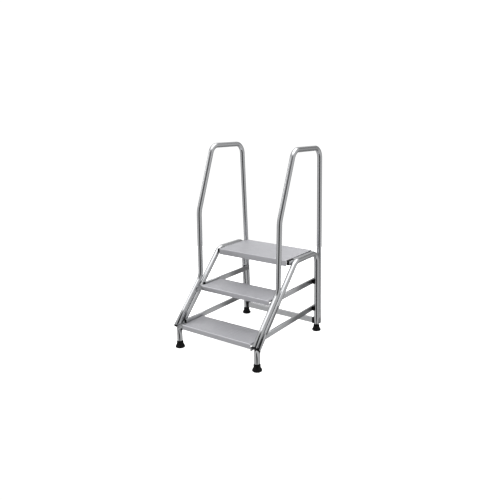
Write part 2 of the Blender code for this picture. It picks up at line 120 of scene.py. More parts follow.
# ---------------------------------------------------------------- sizes and colours a user may change
class TubeSizes(bpy.types.PropertyGroup):
    """Side frames, front legs and handrails"""
    frame_d: length("Frame tube", 0.040, "Outside diameter of the side frames and front legs")
    rail_d: length("Handrail tube", 0.036, "Outside diameter of the handrails")
    wall: length("Wall", 0.0025, "Wall of every round tube")
    base_depth: length("Base depth", 0.831, "Front foot to rear foot, centre to centre on the floor")
    stringer_drop: length("Stringer drop", 0.0474,
                          "Stringer axis meets the front leg this far below the first tread")
    side_rail_drop: length("Side rail drop", 0.012, "Platform top down to the side rail's axis")
    rail_standoff: length("Handrail standoff", 0.0026,
                          "Clear distance between the end plugs of stringer and handrail")
    rail_end: length("Handrail end", 0.1803, "Height of the handrail's lower end")
    upright_start: length("Upright start", 0.4825, "Height where the handrail leaves the stringer")
    knee_height: length("Knee height", 0.970, "Height where the upright turns back")
    post_end: length("Post end", 0.060, "Height of the rear post's lower end")
    rear_lean: slope("Rear lean", 3.2, "Lean of the rear leg and post from the vertical")
    upright_lean: slope("Upright lean", 1.0, "Lean of the upright from the vertical")
    upper_lean: slope("Upper lean", 20.4, "Lean of the upright above the knee")
    nose_bend: length("Nose bend", 0.080, "Bend radius at the platform's front, to the tube's axis")
    heel_bend: length("Heel bend", 0.075, "Bend radius at the platform's rear")
    start_bend: length("Start bend", 0.110, "Bend radius where the handrail leaves the stringer")
    knee_bend: length("Knee bend", 0.160, "Bend radius at the knee")
    top_bend: length("Top bend", 0.075, "Bend radius at both ends of the top rail")
    facets: IntProperty(name="Facets", default=48, min=12, max=96, description="Facets round a tube")


class TreadSizes(bpy.types.PropertyGroup):
    """Treads, platform, brackets and their bolts"""
    skin: length("Sheet", 0.003, "Thickness of the tread's sheet and skirts")
    nose_r: length("Nosing radius", 0.007, "Radius of the front edge")
    groove_pitch: length("Groove pitch", 0.0215, "Spacing of the grip grooves")
    groove_w: length("Groove width", 0.006, "Width of a grip groove at the top")
    groove_depth: length("Groove depth", 0.0015, "Depth of a grip groove")
    bracket_t: length("Bracket sheet", 0.004, "Thickness of the bracket's plate and flange")
    flange_reach: length("Flange reach", 0.052, "Flange from the plate to under the tread")
    bolt_r: length("Bolt head radius", 0.006, "Radius of a button head")


class TrimSizes(bpy.types.PropertyGroup):
    """Braces, plugs, saddles, nuts and feet"""
    brace_r: length("Brace corner", 0.005, "Corner radius of the flat side braces")
    brace_wall: length("Brace wall", 0.002, "Wall of the flat side braces")
    cross_r: length("Cross brace corner", 0.0035, "Corner radius of the rear cross brace")
    plug_t: length("Plug head", 0.009, "Thickness of a tube plug's head")
    plug_depth: length("Plug depth", 0.014, "Length of a plug's spigot")
    foot_h: length("Foot height", 0.045, "Height of a rubber foot")
    foot_r: length("Foot radius", 0.0345, "Radius of a foot on the floor")
    foot_top_r: length("Foot collar radius", 0.0245, "Radius of a foot's collar")
    foot_floor: length("Foot floor", 0.006, "Rubber under the tube's end")
    flutes: IntProperty(name="Foot flutes", default=14, min=0, max=40,
                        description="Shallow flutes round a foot")
    nut_r: length("Nut radius", 0.0085, "Radius of the dome nut behind a post")
    nut_h: length("Nut height", 0.008, "Height of the dome nut")
    strip_w: length("Strip width", 0.007, "Width of the plain vinyl strip on the right stringer")
    strip_length: length("Strip length", 0.220, "Length of the plain vinyl strip")


class Finishes(bpy.types.PropertyGroup):
    """Colours of the finishes"""
    drawn: colour("Drawn tube", "CDCED0", "Bright drawn aluminium")
    mill: colour("Extruded section", "C9CACC", "Satin mill aluminium")
    anodised: colour("Tread", "CBCBCF", "Matt anodised aluminium")
    plastic: colour("Plastic", "09090A", "Black polypropylene")
    rubber: colour("Rubber", "050505", "Black rubber")
    zinc: colour("Fasteners", "C4C5C4", "Zinc-plated steel")
    vinyl: colour("Strip", "3A3B3E", "Dark grey vinyl")
    floor: colour("Floor", "E9E9E9", "Pale studio floor")


# ---------------------------------------------------------------- where things are
def middle(node):
    low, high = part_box(node)
    return (low + high) / 2


class Layout:
    """The side view, worked out from the frame's boxes and the sizes."""

    def __init__(self, tubes):
        self.t = tubes
        self.half = middle("side_frame_right").x
        self.y0 = middle("front_leg_right").y
        boxes = [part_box(name) for name in STEPS]
        self.tops = [high.z for low, high in boxes]
        self.fronts = [low.y for low, high in boxes]
        self.rear = boxes[2][1].y
        self.rf, self.rh = tubes.frame_d / 2, tubes.rail_d / 2
        self.pitch = math.atan2(self.fronts[1] - self.fronts[0], self.tops[1] - self.tops[0])
        self.along = Vector((math.sin(self.pitch), math.cos(self.pitch)))
        self.across = Vector((-self.along.y, self.along.x))
        self.rail_offset = self.rf / math.cos(self.pitch) + self.rh + tubes.rail_standoff
        self.post_offset = (self.rf + self.rh + 3 * GAP) / math.cos(tubes.rear_lean)
        self.side_rail_z = self.tops[2] - tubes.side_rail_drop
        self.top_rail_z = CAD_BOX[1].z - self.rh
        self.rail_end = Vector((self.rail_y(tubes.rail_end), tubes.rail_end))
        self.stringer_end = self.rail_end - self.across * self.rail_offset
        self.down = Vector((math.sin(tubes.rear_lean), -math.cos(tubes.rear_lean)))

    def stringer_y(self, z):
        return (z - self.tops[0] + self.t.stringer_drop) * math.tan(self.pitch)

    def rail_y(self, z):
        """The handrail's lower run, parallel to the stringer and in front of it."""
        return self.stringer_y(z) - self.rail_offset / math.cos(self.pitch)

    def leg_y(self, z):
        return self.t.base_depth - z * math.tan(self.t.rear_lean)

    def post_y(self, z):
        return self.leg_y(z) + self.post_offset

    def at(self, x, point):
        return Vector((x, point[0] + self.y0, point[1]))

    def frame_corners(self, foot_floor):
        z = self.side_rail_z
        toe = foot_floor + GAP + self.rf * math.sin(self.t.rear_lean)
        return [self.stringer_end, Vector((self.stringer_y(z), z)), Vector((self.leg_y(z), z)),
                Vector((self.leg_y(toe), toe))]

    def rail_corners(self):
        t = self.t
        start = Vector((self.rail_y(t.upright_start), t.upright_start))
        knee = start + Vector((math.tan(t.upright_lean), 1)) * (t.knee_height - t.upright_start)
        front = knee + Vector((math.tan(t.upper_lean), 1)) * (self.top_rail_z - t.knee_height)
        return [self.rail_end, start, knee, front, Vector((self.post_y(self.top_rail_z), self.top_rail_z)),
                Vector((self.post_y(t.post_end), t.post_end))]


# ---------------------------------------------------------------- mesh helpers
def placed(origin, z_axis, x_axis=(1, 0, 0)):
    """A placement whose local Z points along z_axis."""
    z = Vector(z_axis).normalized()
    x = (Vector(x_axis) - z * z.dot(Vector(x_axis))).normalized()
    rot = Matrix((x, z.cross(x), z)).transposed().to_4x4()
    return Matrix.Translation(origin) @ rot


def finished(bm, name, mat, nodes):
    """Turns a bmesh into a finished piece on the root body."""
    mesh = bpy.data.meshes.new(name)
    bm.to_mesh(mesh)
    bm.free()
    mesh.materials.append(mat)
    mesh.shade_smooth()
    mesh.set_sharp_from_angle(angle=SHARP_ANGLE)
    obj = bpy.data.objects.new(name + "_look", mesh)
    bpy.context.scene.collection.objects.link(obj)
    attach(obj, "root")
    if nodes:
        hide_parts(*nodes)
    return obj


def walled(obj, thickness):
    """Gives a skin its wall, inwards."""
    mod = obj.modifiers.new("wall", "SOLIDIFY")
    mod.thickness = thickness
    mod.offset = -1.0
    mod.use_even_offset = True
    mod.use_rim = True


def drawn_tube(layout, x, corners, radii, radius):
    """A round tube through side-view corners. The attribute 'drawn' holds each point's place round the tube
    and its distance along it, so that the drawing lines follow the bends."""
    bm = bmesh.new()
    drawn = bm.verts.layers.float_vector.new("drawn")
    start, heading = corners[0], (corners[1] - corners[0]).normalized()
    side = Vector((-heading.y, heading.x))
    made = bmesh.ops.create_circle(bm, cap_ends=False, radius=radius, segments=layout.t.facets,
                                   matrix=placed(layout.at(x, start), (0, heading.x, heading.y)))
    ring = made["verts"]
    for vert in ring:
        off = vert.co - layout.at(x, start)
        vert[drawn] = (off.x, off.y * side.x + off.z * side.y, 0.0)
    travelled = [0.0]

    def carry(turn=None, centre=None, move=None, far=0.0):
        nonlocal ring
        linked = {e for v in ring for e in v.link_edges}
        edges = [e for e in linked if e.verts[0] in ring and e.verts[1] in ring]
        grown = bmesh.ops.extrude_edge_only(bm, edges=edges)["geom"]
        ring = [g for g in grown if isinstance(g, bmesh.types.BMVert)]
        if turn is None:
            bmesh.ops.translate(bm, vec=move, verts=ring)
        else:
            bmesh.ops.rotate(bm, cent=centre, matrix=Matrix.Rotation(turn, 3, "X"), verts=ring)
        travelled[0] += far
        for vert in ring:
            vert[drawn] = (vert[drawn].x, vert[drawn].y, travelled[0])

    def straight(a, b):
        far = (b - a).length
        if far > 1e-6:
            spans = max(1, round(far / 0.12))
            for _ in range(spans):
                carry(move=Vector((0, *((b - a) / spans))), far=far / spans)

    here = start
    for before, corner, after, bend in zip(corners, corners[1:], corners[2:], radii):
        back, ahead = (before - corner).normalized(), (after - corner).normalized()
        turn = math.pi - back.angle(ahead)
        reach = bend * math.tan(turn / 2)
        entry = corner + back * reach
        straight(here, entry)
        centre = corner + (back + ahead).normalized() * math.hypot(bend, reach)
        spoke = entry - centre
        sign = 1 if spoke.x * ahead.y - spoke.y * ahead.x > 0 else -1
        count = max(3, round(turn / math.radians(4)))
        for _ in range(count):
            carry(turn=sign * turn / count, centre=layout.at(x, centre), far=bend * turn / count)
        here = corner + ahead * reach
    straight(here, corners[-1])
    bmesh.ops.recalc_face_normals(bm, faces=bm.faces)
    return bm


def turned(bm, profile, steps, matrix=Matrix.Identity(4), reshape=None):
    """Spins an (r, z) profile about local Z, closes its poles and places it."""
    verts = [bm.verts.new((r, 0.0, z)) for r, z in profile]
    edges = [bm.edges.new(pair) for pair in zip(verts, verts[1:])]
    known = set(bm.verts) - set(verts)
    bmesh.ops.spin(bm, geom=verts + edges, cent=(0, 0, 0), axis=(0, 0, 1), angle=2 * math.pi, steps=steps,
                   use_merge=True, use_duplicate=False)
    new = [v for v in bm.verts if v not in known]
    bmesh.ops.remove_doubles(bm, verts=new, dist=1e-6)
    new = [v for v in bm.verts if v not in known]
    bmesh.ops.recalc_face_normals(bm, faces=list({f for v in new for f in v.link_faces}))
    if reshape:
        for vert in new:
            reshape(vert)
    bmesh.ops.transform(bm, matrix=matrix, verts=new)


def eased(bm, edges, offset, segments):
    """Rounds edges over."""
    return bmesh.ops.bevel(bm, geom=edges, offset=offset, segments=segments, affect="EDGES", profile=0.5,
                           material=-1)


def block(bm, low, high, ease, segments=2, only=None):
    """A block between two corners with eased edges; only picks the axis whose edges are eased."""
    low, high = Vector(low), Vector(high)
    verts = bmesh.ops.create_cube(bm, size=1.0)["verts"]
    bmesh.ops.scale(bm, vec=high - low, verts=verts)
    bmesh.ops.translate(bm, vec=(low + high) / 2, verts=verts)
    edges = {e for v in verts for e in v.link_edges}
    if only is not None:
        edges = {e for e in edges if abs((e.verts[0].co - e.verts[1].co).normalized()[only]) > 0.9}
    if ease:
        eased(bm, list(edges), ease, segments)


def outlined(bm, points, vec, ease=0.0):
    """Fills a closed outline of 3-D points and extrudes it by vec."""
    face = bm.faces.new([bm.verts.new(p) for p in points])
    grown = bmesh.ops.extrude_face_region(bm, geom=[face], use_keep_orig=True)["geom"]
    far = [g for g in grown if isinstance(g, bmesh.types.BMVert)]
    bmesh.ops.translate(bm, vec=vec, verts=far)
    verts = list(face.verts) + far
    faces = list({f for v in verts for f in v.link_faces})
    bmesh.ops.recalc_face_normals(bm, faces=faces)
    if ease:
        edges = list({e for f in faces for e in f.edges if len(e.link_faces) == 2
                      and e.link_faces[0].normal.angle(e.link_faces[1].normal, 0) > math.radians(40)})
        eased(bm, edges, ease, 2)


# ---------------------------------------------------------------- finishes
def add(tree, kind, links=(), **settings):
    """Adds a node with its settings, input values and links (a link's value is a socket)."""
    node = tree.nodes.new(kind)
    for key, value in settings.items():
        setattr(node, key, value)
    for key, value in dict(links).items():
        if isinstance(value, bpy.types.NodeSocket):
            tree.links.new(value, node.inputs[key])
        else:
            node.inputs[key].default_value = value
    return node


def new_finish(name, base, roughness, metallic=0.0, **sockets):
    mat = bpy.data.materials.new(name)
    mat.use_nodes = True
    shader = mat.node_tree.nodes["Principled BSDF"]
    for key, value in {"Base Color": (*base, 1.0), "Roughness": roughness, "Metallic": metallic,
                       **sockets}.items():
        shader.inputs[key].default_value = value
    return mat, mat.node_tree, shader


def on_object(tree):
    """The object's own coordinates."""
    return add(tree, "ShaderNodeTexCoord").outputs["Object"]


def noise(tree, vector, scale, detail, **more):
    return add(tree, "ShaderNodeTexNoise", {"Vector": vector, "Scale": scale, "Detail": detail,
                                            **more}).outputs[0]


def blended(tree, factor, a, b, how="MIX"):
    """One colour over another."""
    return add(tree, "ShaderNodeMix", {"Factor": factor, "A": a, "B": b}, data_type="RGBA",
               blend_type=how).outputs["Result"]


def varied(tree, shader, vector, scale, low, high):
    """Uneven sheen: roughness between low and high in soft patches of about 1/scale metres."""
    patches = noise(tree, vector, scale, 4.0, Roughness=0.6)
    sheen = add(tree, "ShaderNodeMapRange", {"Value": patches, "From Min": 0.3, "From Max": 0.7,
                                             "To Min": low, "To Max": high})
    tree.links.new(sheen.outputs[0], shader.inputs["Roughness"])
    return patches


def tinted(tree, shader, factor, base, darker):
    """Base colour drifting a little towards a darker tone."""
    deep = tuple(c * darker for c in base)
    tree.links.new(blended(tree, factor, (*base, 1.0), (*deep, 1.0)), shader.inputs["Base Color"])


def relief(tree, shader, height, distance, strength):
    """Fine height detail."""
    bump = add(tree, "ShaderNodeBump", {"Height": height, "Distance": distance, "Strength": strength})
    tree.links.new(bump.outputs[0], shader.inputs["Normal"])


def drawn_aluminium(look):
    """Bright drawn aluminium tube. Pulling it through a die leaves fine lines along it, so highlights run as
    long crisp bands down each tube, broken a little where hands and handling have dulled it."""
    mat, tree, shader = new_finish("bright_drawn_aluminium", look.drawn, 0.17, 1.0)
    place = add(tree, "ShaderNodeAttribute", attribute_name="drawn")
    # real drawing lines are about 0.2 mm apart; here 0.9 mm, and 60 times as long
    lines = add(tree, "ShaderNodeMapping", {"Vector": place.outputs["Vector"], "Scale": (1.0, 1.0, 0.016)})
    grain = noise(tree, lines.outputs[0], 1100.0, 3.0)
    patches = varied(tree, shader, place.outputs["Vector"], 22.0, 0.13, 0.22)
    tinted(tree, shader, patches, look.drawn, 0.93)
    relief(tree, shader, grain, 0.00003, 0.5)
    return mat


def mill_aluminium(look):
    """Satin mill-finish aluminium extrusion: faint die lines along its length spread the light softly."""
    mat, tree, shader = new_finish("satin_mill_aluminium", look.mill, 0.32, 1.0)
    place = on_object(tree)
    # die lines about 0.3 mm apart, drawn at 1.2 mm
    lines = add(tree, "ShaderNodeMapping", {"Vector": place, "Scale": (1.0, 0.02, 1.0)})
    grain = noise(tree, lines.outputs[0], 850.0, 3.0)
    patches = varied(tree, shader, place, 26.0, 0.27, 0.39)
    tinted(tree, shader, patches, look.mill, 0.92)
    relief(tree, shader, grain, 0.00004, 0.5)
    return mat


def anodised_aluminium(look):
    """Matt anodised aluminium tread section: the etched, dyed oxide scatters light, so the treads read as an
    even pale grey, with die lines from side to side and shoe wear on the lands."""
    mat, tree, shader = new_finish("matt_anodised_aluminium", look.anodised, 0.44, 1.0)
    place = on_object(tree)
    lines = add(tree, "ShaderNodeMapping", {"Vector": place, "Scale": (0.02, 1.0, 1.0)})
    # die lines about 0.4 mm apart, drawn at 1.4 mm
    grain = noise(tree, lines.outputs[0], 700.0, 4.0)
    patches = varied(tree, shader, place, 14.0, 0.38, 0.50)
    tinted(tree, shader, patches, look.anodised, 0.94)
    relief(tree, shader, grain, 0.00005, 0.6)
    return mat


def moulded_plastic(look):
    """Black polypropylene moulding with a fine spark-eroded grain, a little shinier where the mould was
    smooth."""
    mat, tree, shader = new_finish("moulded_polypropylene", look.plastic, 0.42, IOR=1.49,
                                   **{"Specular IOR Level": 0.16})
    place = on_object(tree)
    grain = noise(tree, place, 1500.0, 2.0)
    varied(tree, shader, place, 60.0, 0.36, 0.50)
    relief(tree, shader, grain, 0.00006, 0.5)
    return mat


def moulded_rubber(look):
    """Carbon-black rubber, compression moulded: soft broad highlights and a dusty, slightly uneven bloom."""
    mat, tree, shader = new_finish("carbon_black_rubber", look.rubber, 0.50, IOR=1.52,
                                   **{"Specular IOR Level": 0.14})
    place = on_object(tree)
    grain = noise(tree, place, 900.0, 3.0)
    bloom = varied(tree, shader, place, 45.0, 0.45, 0.68)
    dusty = tuple(min(1.0, c + 0.006) for c in look.rubber)
    tree.links.new(blended(tree, bloom, (*look.rubber, 1.0), (*dusty, 1.0)), shader.inputs["Base Color"])
    relief(tree, shader, grain, 0.00008, 0.5)
    return mat


def zinc_steel(look):
    """Bright zinc-plated steel: small, sharp highlights with a faint mottle from the plating bath."""
    mat, tree, shader = new_finish("zinc_plated_steel", look.zinc, 0.24, 1.0)
    place = on_object(tree)
    patches = varied(tree, shader, place, 220.0, 0.18, 0.34)
    tinted(tree, shader, patches, look.zinc, 0.85)
    return mat


def vinyl_film(look):
    """Calendered vinyl film, a plain dark strip with a soft even gloss and slightly lifted grain."""
    mat, tree, shader = new_finish("plain_vinyl_film", look.vinyl, 0.35, IOR=1.53)
    place = on_object(tree)
    varied(tree, shader, place, 80.0, 0.30, 0.42)
    return mat


def painted_floor(look):
    """Matt white acrylic studio floor with a faint stipple, lit from below so that no shadow shows."""
    mat, tree, shader = new_finish("matt_white_floor_panel", look.floor, 0.7, IOR=1.45,
                                   **{"Emission Color": WHITE, "Emission Strength": 0.9})
    place = on_object(tree)
    stipple = noise(tree, place, 240.0, 2.0)
    varied(tree, shader, place, 3.0, 0.62, 0.78)
    relief(tree, shader, stipple, 0.0001, 0.3)
    return mat


MAKERS = {"drawn": drawn_aluminium, "mill": mill_aluminium, "anodised": anodised_aluminium,
          "plastic": moulded_plastic, "rubber": moulded_rubber, "zinc": zinc_steel, "vinyl": vinyl_film,
          "floor": painted_floor}
MADE = {}


def finish(context, key):
    if key not in MADE:
        MADE[key] = MAKERS[key](context.scene.ladder_finishes)
    return MADE[key]


# ---------------------------------------------------------------- tubes
class LADDER_OT_side_frames(bpy.types.Operator):
    """Bends the two side frames: stringer, side rail and rear leg in one tube"""
    bl_idname = "ladder.side_frames"
    bl_label = "Side Frames"

    def execute(self, context):
        lay = Layout(context.scene.ladder_tubes)
        corners = lay.frame_corners(context.scene.ladder_trim.foot_floor)
        for side, sign in SIDES:
            bm = drawn_tube(lay, sign * lay.half, corners, [lay.t.nose_bend, lay.t.heel_bend], lay.rf)
            name = "side_frame_" + side
            walled(finished(bm, name, finish(context, "drawn"), [name]), lay.t.wall)
        return {"FINISHED"}


class LADDER_OT_front_legs(bpy.types.Operator):
    """Cuts the two front legs, mitred under the stringer's end"""
    bl_idname = "ladder.front_legs"
    bl_label = "Front Legs"

    def execute(self, context):
        lay, trim = Layout(context.scene.ladder_tubes), context.scene.ladder_trim
        for side, sign in SIDES:
            x = sign * lay.half
            ends = [Vector((0, trim.foot_floor + GAP)), Vector((0, lay.tops[0]))]
            bm = drawn_tube(lay, x, ends, [], lay.rf)
            cut = lay.stringer_end - lay.along * (trim.plug_t + 2 * GAP)
            geom = list(bm.verts) + list(bm.edges) + list(bm.faces)
            bmesh.ops.bisect_plane(bm, geom=geom, plane_co=lay.at(x, cut), dist=1e-6,
                                   plane_no=(0, lay.along.x, lay.along.y), clear_outer=True)
            name = "front_leg_" + side
            walled(finished(bm, name, finish(context, "drawn"), [name]), lay.t.wall)
        return {"FINISHED"}


class LADDER_OT_handrails(bpy.types.Operator):
    """Bends the two handrails from the stringer's foot, over the top and down behind the rear leg"""
    bl_idname = "ladder.handrails"
    bl_label = "Handrails"

    def execute(self, context):
        lay = Layout(context.scene.ladder_tubes)
        bends = [lay.t.start_bend, lay.t.knee_bend, lay.t.top_bend, lay.t.top_bend]
        for side, sign in SIDES:
            bm = drawn_tube(lay, sign * lay.half, lay.rail_corners(), bends, lay.rh)
            name = "handrail_" + side
            walled(finished(bm, name, finish(context, "drawn"), [name]), lay.t.wall)
        return {"FINISHED"}


# ---------------------------------------------------------------- braces
class LADDER_OT_braces(bpy.types.Operator):
    """Makes the four flat side braces and the rear cross brace"""
    bl_idname = "ladder.braces"
    bl_label = "Braces"

    def execute(self, context):
        trim = context.scene.ladder_trim
        for level in ("lower", "upper"):
            for side, sign in SIDES:
                name = level + "_brace_" + side
                bm = bmesh.new()
                block(bm, *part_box(name), trim.brace_r, 6, only=1)
                ends = [f for f in bm.faces if abs(f.normal.y) > 0.9]
                bmesh.ops.delete(bm, geom=ends, context="FACES_ONLY")
                piece = finished(bm, name, finish(context, "mill"), [name])
                walled(piece, trim.brace_wall)
        bm = bmesh.new()
        block(bm, *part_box("rear_cross_brace"), trim.cross_r, 5, only=0)
        finished(bm, "rear_cross_brace", finish(context, "mill"), ["rear_cross_brace"])
        return {"FINISHED"}


class LADDER_OT_saddles(bpy.types.Operator):
    """Makes the black saddles that seat the braces on the round rear legs, their black also painted contact
    shade where each brace meets its leg, and the platform's corner pads
    """
    bl_idname = "ladder.saddles"
    bl_label = "Saddles and Pads"

    def execute(self, context):
        lay = Layout(context.scene.ladder_tubes)
        hollow = lay.rf + 2 * GAP
        shear = Matrix.Identity(4)
        shear[1][2] = -math.tan(lay.t.rear_lean)
        # the saddles are a real seat, and their black is also painted shade: it stands for the contact
        # shadow between each brace's end and its leg
        for side, sign in SIDES:
            for level in ("lower", "upper"):
                name = level + "_saddle_" + side
                low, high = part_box(name)
                z, inner = (low.z + high.z) / 2, lay.half - lay.rf
                back = lay.at(0, (lay.leg_y(z), z)).y
                reach = abs(high.x if sign > 0 else low.x) - inner
                arc = [(r, back - math.sqrt(max(0.0, hollow ** 2 - (lay.half - r) ** 2)))
                       for r in (inner + reach * i / 8 for i in range(9))]
                plan = [(inner, low.y)] + arc + [(arc[-1][0], low.y)]
                plan = [(sign * px, py - back) for px, py in plan]
                self.wedge(context, name, plan, back, low.z, high.z, shear)
            name = "cross_saddle_" + side
            low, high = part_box(name)
            z = (low.z + high.z) / 2
            back = lay.at(0, (lay.leg_y(z), z)).y
            wide = (high.y - low.y) / 2
            arc = [(lay.half - math.sqrt(hollow ** 2 - q ** 2), q)
                   for q in (wide * (i / 5 - 1) for i in range(11))]
            start = min(abs(low.x), abs(high.x))
            plan = [(start, wide), (start, -wide)] + arc
            self.wedge(context, name, [(sign * px, py) for px, py in plan], back, low.z, high.z, shear)
            name = "platform_pad_" + side
            bm = bmesh.new()
            block(bm, *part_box(name), 0.0022, 3)
            finished(bm, name, finish(context, "plastic"), [name])
        return {"FINISHED"}

    def wedge(self, context, name, plan, back, low, high, shear):
        bm = bmesh.new()
        half = (high - low) / 2
        outlined(bm, [(px, py, -half) for px, py in plan], (0, 0, 2 * half), 0.0012)
        place = Matrix.Translation((0, back, (low + high) / 2))
        bmesh.ops.transform(bm, matrix=place @ shear, verts=bm.verts)
        finished(bm, name, finish(context, "plastic"), [name])


# ---------------------------------------------------------------- treads
class LADDER_OT_treads(bpy.types.Operator):
    """Extrudes the two treads and the platform: grooved sheet, rounded nosing and skirts, open below"""
    bl_idname = "ladder.treads"
    bl_label = "Treads and Platform"

    def execute(self, context):
        t = context.scene.ladder_treads
        for name in STEPS:
            low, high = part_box(name)
            bm = bmesh.new()
            points = self.section(t, high.y - low.y, high.z - low.z)
            outlined(bm, [(low.x, low.y + y, high.z + z) for y, z in points], (high.x - low.x, 0, 0))
            long = [e for e in bm.edges if abs(e.verts[0].co.x - e.verts[1].co.x) > 0.1]
            lips = [e for e in long if len(e.link_faces) == 2
                    and math.radians(30) < e.link_faces[0].normal.angle(e.link_faces[1].normal, 0)]
            eased(bm, lips, 0.00035, 2)
            finished(bm, name, finish(context, "anodised"), [name])
        return {"FINISHED"}

    def section(self, t, depth, height):
        """Closed (y, z) outline from the front top, with y = 0 at the front and z = 0 at the top."""
        points = [(0.0, -height)]
        points += [(t.nose_r * (1 - math.cos(a)), t.nose_r * (math.sin(a) - 1))
                   for a in (math.pi / 2 * i / 8 for i in range(9))]
        count = int((depth - 2 * t.nose_r - t.groove_w) / t.groove_pitch)
        first = (depth - (count - 1) * t.groove_pitch) / 2
        for i in range(count):
            y = first + i * t.groove_pitch
            points += [(y - t.groove_w / 2, 0.0), (y - t.groove_w / 3, -t.groove_depth),
                       (y + t.groove_w / 3, -t.groove_depth), (y + t.groove_w / 2, 0.0)]
        inner = t.skin + t.groove_depth
        points += [(depth - 0.002, 0.0), (depth - 0.0006, -0.0006), (depth, -0.002), (depth, -height),
                   (depth - t.skin, -height), (depth - t.skin, -inner), (t.skin + 0.001, -inner),
                   (t.skin, -t.nose_r), (t.skin, -height)]
        return points


class LADDER_OT_brackets(bpy.types.Operator):
    """Makes the six tread brackets: a plate on the tubes' inner faces and a flange under the tread's end"""
    bl_idname = "ladder.brackets"
    bl_label = "Brackets"

    def execute(self, context):
        t, lay = context.scene.ladder_treads, Layout(context.scene.ladder_tubes)
        for step in STEPS:
            tread_low, tread_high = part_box(step)
            for side, sign in SIDES:
                name = step + "_bracket_" + side
                low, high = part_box(name)
                outer = max(abs(low.x), abs(high.x))
                bm = bmesh.new()
                near, far = sorted((sign * (outer - t.bracket_t), sign * outer))
                front = low.y if step != STEPS[2] else tread_low.y + 2 * t.skin
                # the plate ends where the flange's wide part ends; the platform's runs its whole depth
                plate_end = tread_low.y + PLATE_LENGTH if step != STEPS[2] else high.y
                block(bm, (near, front, high.z - PLATE_H), (far, plate_end, high.z), 0.0012)
                z1 = high.z - 0.001
                a = outer - FLANGE_INSET
                b, c = a - t.flange_reach, tread_high.x
                y1, y2 = tread_low.y + 2 * t.skin, high.y
                plan = [(a, y1), (b, y1), (b, y2), (c, y2), (c, plate_end), (a, plate_end)]
                if step == STEPS[2]:
                    y1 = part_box("platform_pad_" + side)[1].y + t.skin
                    plan = [(a, y1), (b, y1), (b, y2), (a, y2)]
                below = [(sign * px, py, z1 - t.bracket_t) for px, py in plan]
                outlined(bm, below, (0, 0, t.bracket_t), 0.0008)
                finished(bm, name, finish(context, "mill"), [name])
        return {"FINISHED"}


# ---------------------------------------------------------------- fasteners
def button_head(bm, radius, height, matrix):
    """A low button head with a hexagon socket."""
    socket = 0.42 * radius
    dome = [(0.0, 0.25 * height), (socket, 0.25 * height), (socket, 0.98 * height), (0.5 * radius, height)]
    dome += [(radius * math.sin(a), height * math.cos(a) ** 0.8)
             for a in (math.radians(d) for d in (45, 60, 75))]
    dome += [(radius, 0.08 * height), (radius, 0.0), (0.0, 0.0)]

    def hexagon(vert):
        r = math.hypot(vert.co.x, vert.co.y)
        if abs(r - socket) < 1e-5:
            angle = math.atan2(vert.co.y, vert.co.x) % (math.pi / 3) - math.pi / 6
            k = math.cos(math.pi / 6) / math.cos(angle)
            vert.co.x, vert.co.y = vert.co.x * k, vert.co.y * k

    turned(bm, dome, 24, matrix, hexagon)


class LADDER_OT_fasteners(bpy.types.Operator):
    """Makes the bracket bolts, the brace bolts and the dome nuts behind the posts"""
    bl_idname = "ladder.fasteners"
    bl_label = "Bolts and Nuts"

    def execute(self, context):
        t, trim = context.scene.ladder_treads, context.scene.ladder_trim
        lay = Layout(context.scene.ladder_tubes)
        steel = finish(context, "zinc")
        for step in STEPS:
            for side, sign in SIDES:
                for end in ("front", "rear"):
                    name = f"{step}_bolt_{side}_{end}"
                    low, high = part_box(name)
                    spot = middle(name)
                    bm = bmesh.new()
                    button_head(bm, t.bolt_r, high.z - low.z, Matrix.Translation((spot.x, spot.y, low.z)))
                    finished(bm, name, steel, [name])
        for side, sign in SIDES:
            bm = bmesh.new()
            for level in ("lower", "upper"):
                low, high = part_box(f"{level}_brace_{side}")
                z, face = (low.z + high.z) / 2, min(abs(low.x), abs(high.x)) * sign
                for y in (lay.at(0, (lay.leg_y(z), z)).y, low.y + BRACE_BOLT_INSET):
                    seat = placed((face, y, z), (-sign, 0, 0), (0, 1, 0))
                    button_head(bm, BRACE_BOLT_R, BRACE_BOLT_H, seat)
            finished(bm, "brace_bolts_" + side, steel, [])
            bm = bmesh.new()
            name = "post_nut_" + side
            spot = middle(name)
            lean = lay.t.rear_lean
            z = spot.z - trim.nut_h / 2 * math.sin(lean)
            out = Vector((0, math.cos(lean), math.sin(lean)))
            start = lay.at(sign * lay.half, (lay.post_y(z), z)) + out * (lay.rh + GAP)
            spin = placed(start, out)
            ring = bmesh.ops.create_cone(bm, cap_ends=True, segments=6, radius1=trim.nut_r,
                                         radius2=trim.nut_r, depth=0.45 * trim.nut_h)["verts"]
            eased(bm, list({e for v in ring for e in v.link_edges}), 0.0004, 2)
            raised = Matrix.Translation((0, 0, 0.225 * trim.nut_h))
            bmesh.ops.transform(bm, matrix=spin @ raised, verts=bm.verts)
            cap = [(0.78 * trim.nut_r * math.sin(a), trim.nut_h * (0.42 + 0.58 * math.cos(a)))
                   for a in (math.radians(15 * i) for i in range(7))]
            turned(bm, cap + [(0.0, cap[-1][1])], 24, spin)
            finished(bm, name, steel, [name])
        return {"FINISHED"}


